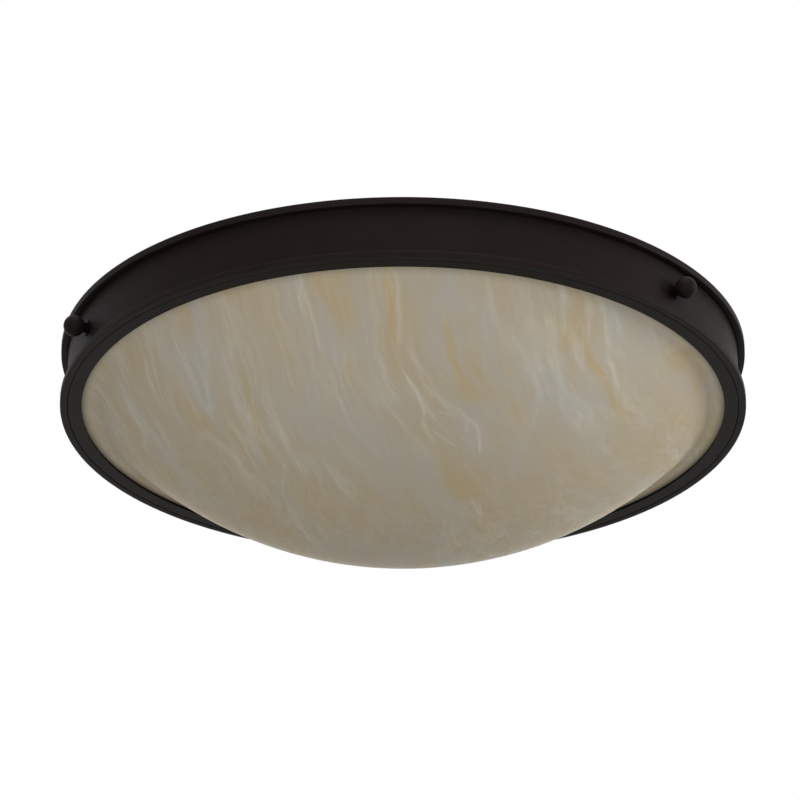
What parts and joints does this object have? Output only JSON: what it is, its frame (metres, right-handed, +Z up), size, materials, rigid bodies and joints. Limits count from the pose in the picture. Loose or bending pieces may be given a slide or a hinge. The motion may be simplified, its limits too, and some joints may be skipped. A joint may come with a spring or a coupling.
{
  "type": "semi flush ceiling light",
  "caption": "Round semi flush ceiling light: canopy and short stem, dark bronze band frame held by ball thumb screws, and a shallow alabaster-look bowl diffuser.",
  "frame": {"origin": "middle of the two box screw slots, at the strap's upper face, which lies in the ceiling plane", "axes": "+Z up into the ceiling, +X along the strap, -Y towards the viewer of the picture"},
  "size_m": [0.6096, 0.6215, 0.2627],
  "materials": {
    "bronze": "satin oil rubbed bronze",
    "alabaster": "satin, translucent, veined like alabaster",
    "zinc": "bright zinc plate",
    "green_screw": "green passivated steel",
    "white_enamel": "gloss white enamel",
    "rubber": "matt",
    "holder_plastic": "matt moulded",
    "brass": "plain",
    "cap_metal": "plain",
    "lamp_glass": "inside frosted",
    "live_insulation": "plain",
    "neutral_insulation": "plain"
  },
  "bodies": {
    "fixed": {"mounting_strap": "zinc", "ground_screw": "green_screw", "threaded_nipple": "zinc", "strap_locknut": "zinc", "stem_sleeve": "bronze", "stem_seat_ring": "bronze", "pan_lock_washer": "zinc", "pan_locknut": "zinc", "pan": "white_enamel", "bracket_screws": "zinc", "live_leads": "live_insulation", "neutral_leads": "neutral_insulation", "lamp_bracket_1": "zinc", "lamp_bracket_2": "zinc", "lamp_bracket_3": "zinc", "lampholder_1": "holder_plastic", "lampholder_2": "holder_plastic", "lampholder_3": "holder_plastic", "lampholder_shell_1": "brass", "lampholder_shell_2": "brass", "lampholder_shell_3": "brass"},
    "canopy_assembly": {"canopy": "bronze", "slip_ring": "bronze"},
    "thumb_screw": {"slip_ring_screw": "bronze"},
    "frame": {"frame_band": "bronze", "lower_hoop": "bronze", "upper_hoop": "bronze", "stud_bosses": "zinc", "bowl_gasket": "rubber"},
    "bowl": {"bowl_diffuser": "alabaster"},
    "knob_washer_1_body": {"knob_washer_1": "bronze"},
    "knob_1_body": {"knob_1": "bronze", "knob_stud_1": "zinc"},
    "knob_washer_2_body": {"knob_washer_2": "bronze"},
    "knob_2_body": {"knob_2": "bronze", "knob_stud_2": "zinc"},
    "knob_washer_3_body": {"knob_washer_3": "bronze"},
    "knob_3_body": {"knob_3": "bronze", "knob_stud_3": "zinc"},
    "lamp_1_body": {"lamp_cap_1": "cap_metal", "lamp_glass_1": "lamp_glass"},
    "lamp_2_body": {"lamp_cap_2": "cap_metal", "lamp_glass_2": "lamp_glass"},
    "lamp_3_body": {"lamp_cap_3": "cap_metal", "lamp_glass_3": "lamp_glass"}
  },
  "joints": [
    {"name": "canopy_slide", "type": "slide", "parent": "fixed", "child": "canopy_assembly", "axis": [0, 0, -1], "range_m": [0, 0.04]},
    {"name": "thumb_screw_turn", "type": "hinge", "parent": "canopy_assembly", "child": "thumb_screw", "pos_m": [0.015, 0, -0.0295], "axis": [1, 0, 0], "range_deg": [0, 540]},
    {"name": "frame_drop", "type": "slide", "parent": "fixed", "child": "frame", "axis": [0, 0, -1], "range_m": [0, 0.06]},
    {"name": "bowl_lift", "type": "slide", "parent": "frame", "child": "bowl", "axis": [0, 0, 1], "range_m": [0, 0.011]},
    {"name": "knob_1_travel", "type": "slide", "parent": "frame", "child": "knob_washer_1_body", "axis": [0.788, -0.6157, 0], "range_m": [0, 0.005]},
    {"name": "knob_1_turn", "type": "hinge", "parent": "knob_washer_1_body", "child": "knob_1_body", "pos_m": [0.24428, -0.19085, -0.11857], "axis": [0.788, -0.6157, 0], "range_deg": [0, 2268]},
    {"name": "knob_2_travel", "type": "slide", "parent": "frame", "child": "knob_washer_2_body", "axis": [0.1392, 0.9903, 0], "range_m": [0, 0.005]},
    {"name": "knob_2_turn", "type": "hinge", "parent": "knob_washer_2_body", "child": "knob_2_body", "pos_m": [0.04314, 0.30698, -0.11857], "axis": [0.1392, 0.9903, 0], "range_deg": [0, 2268]},
    {"name": "knob_3_travel", "type": "slide", "parent": "frame", "child": "knob_washer_3_body", "axis": [-0.9272, -0.3746, 0], "range_m": [0, 0.005]},
    {"name": "knob_3_turn", "type": "hinge", "parent": "knob_washer_3_body", "child": "knob_3_body", "pos_m": [-0.28743, -0.11613, -0.11857], "axis": [-0.9272, -0.3746, 0], "range_deg": [0, 2268]},
    {"name": "lamp_1_out", "type": "slide", "parent": "fixed", "child": "lamp_1_body", "axis": [0.866, 0.5, 0], "range_m": [0, 0.03]},
    {"name": "lamp_2_out", "type": "slide", "parent": "fixed", "child": "lamp_2_body", "axis": [-0.866, 0.5, 0], "range_m": [0, 0.03]},
    {"name": "lamp_3_out", "type": "slide", "parent": "fixed", "child": "lamp_3_body", "axis": [0, -1, 0], "range_m": [0, 0.03]}
  ],
  "couplings": [
    {"joint": "knob_1_turn", "follows": "knob_1_travel", "rad_per_m": 7913.3},
    {"joint": "knob_2_turn", "follows": "knob_2_travel", "rad_per_m": 7913.3},
    {"joint": "knob_3_turn", "follows": "knob_3_travel", "rad_per_m": 7913.3}
  ]
}
